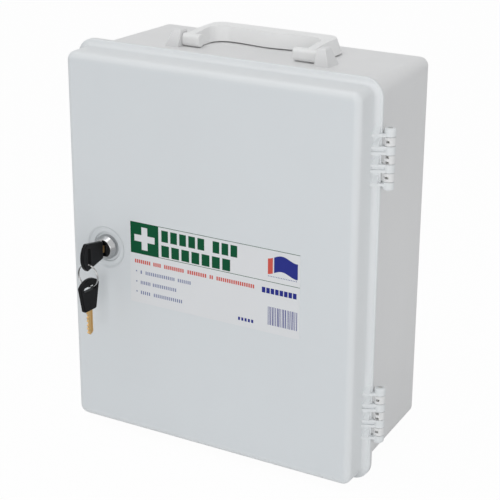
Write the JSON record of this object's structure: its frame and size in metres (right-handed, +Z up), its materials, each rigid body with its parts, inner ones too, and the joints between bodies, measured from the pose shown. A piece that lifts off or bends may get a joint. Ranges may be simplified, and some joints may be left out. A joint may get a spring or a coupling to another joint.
{
  "type": "first aid box",
  "caption": "Wall-hung first aid box of white moulded plastic with a hinged door, fold-flat carrying handle, cam lock with keys on a ring, and an inside shelf.",
  "frame": {"origin": "centre of the flat back face that rests on the wall", "axes": "+Y out of the back face towards the wall, +Z up, +X to the right when the door is seen from the front"},
  "size_m": [0.3059, 0.1913, 0.3678],
  "materials": {
    "white_case": "fine satin",
    "white_door": "fine satin",
    "white_handle": "fine satin",
    "white_shelf": "fine satin",
    "label_white": "printed film",
    "lock_chrome": "polished",
    "steel_fittings": "zinc plated",
    "ring_steel": "polished",
    "key_brass": "satin",
    "key_black": "satin moulded"
  },
  "bodies": {
    "case": {"case_shell": "white_case", "shelf": "white_shelf", "hinge_pin_upper": "steel_fittings", "hinge_pin_lower": "steel_fittings", "handle_pin_left": "steel_fittings", "handle_pin_right": "steel_fittings"},
    "door": {"door_shell": "white_door", "front_label": "label_white", "lock_barrel": "lock_chrome", "lock_washer": "steel_fittings", "lock_nut": "steel_fittings"},
    "lock": {"lock_plug": "lock_chrome", "lock_cam": "steel_fittings", "cam_washer": "steel_fittings", "cam_screw": "steel_fittings"},
    "key": {"key_blade": "key_brass", "key_bow": "key_black"},
    "ring": {"key_ring": "ring_steel"},
    "spare_key": {"spare_key_blade": "key_brass", "spare_key_bow": "key_black"},
    "handle": {"handle": "white_handle"}
  },
  "joints": [
    {"name": "door_hinge", "type": "hinge", "parent": "case", "child": "door", "pos_m": [0.1533, -0.1178, 0], "axis": [0, 0, 1], "range_deg": [0, 165]},
    {"name": "lock_turn", "type": "hinge", "parent": "door", "child": "lock", "pos_m": [-0.1042, -0.15, 0], "axis": [0, 1, 0], "range_deg": [0, 90]},
    {"name": "key_withdraw", "type": "slide", "parent": "lock", "child": "key", "axis": [0, -1, 0], "range_m": [0, 0.03]},
    {"name": "ring_swing", "type": "hinge", "parent": "key", "child": "ring", "pos_m": [-0.1042, -0.1787, -0.0075], "axis": [1, 0, 0], "range_deg": [-45, 8]},
    {"name": "spare_key_swing", "type": "hinge", "parent": "ring", "child": "spare_key", "pos_m": [-0.1042, -0.1787, -0.0281], "axis": [1, 0, 0], "range_deg": [-25, 15]},
    {"name": "handle_fold", "type": "hinge", "parent": "case", "child": "handle", "pos_m": [0.0015, -0.077, 0.1792], "axis": [1, 0, 0], "range_deg": [0, 95]}
  ]
}
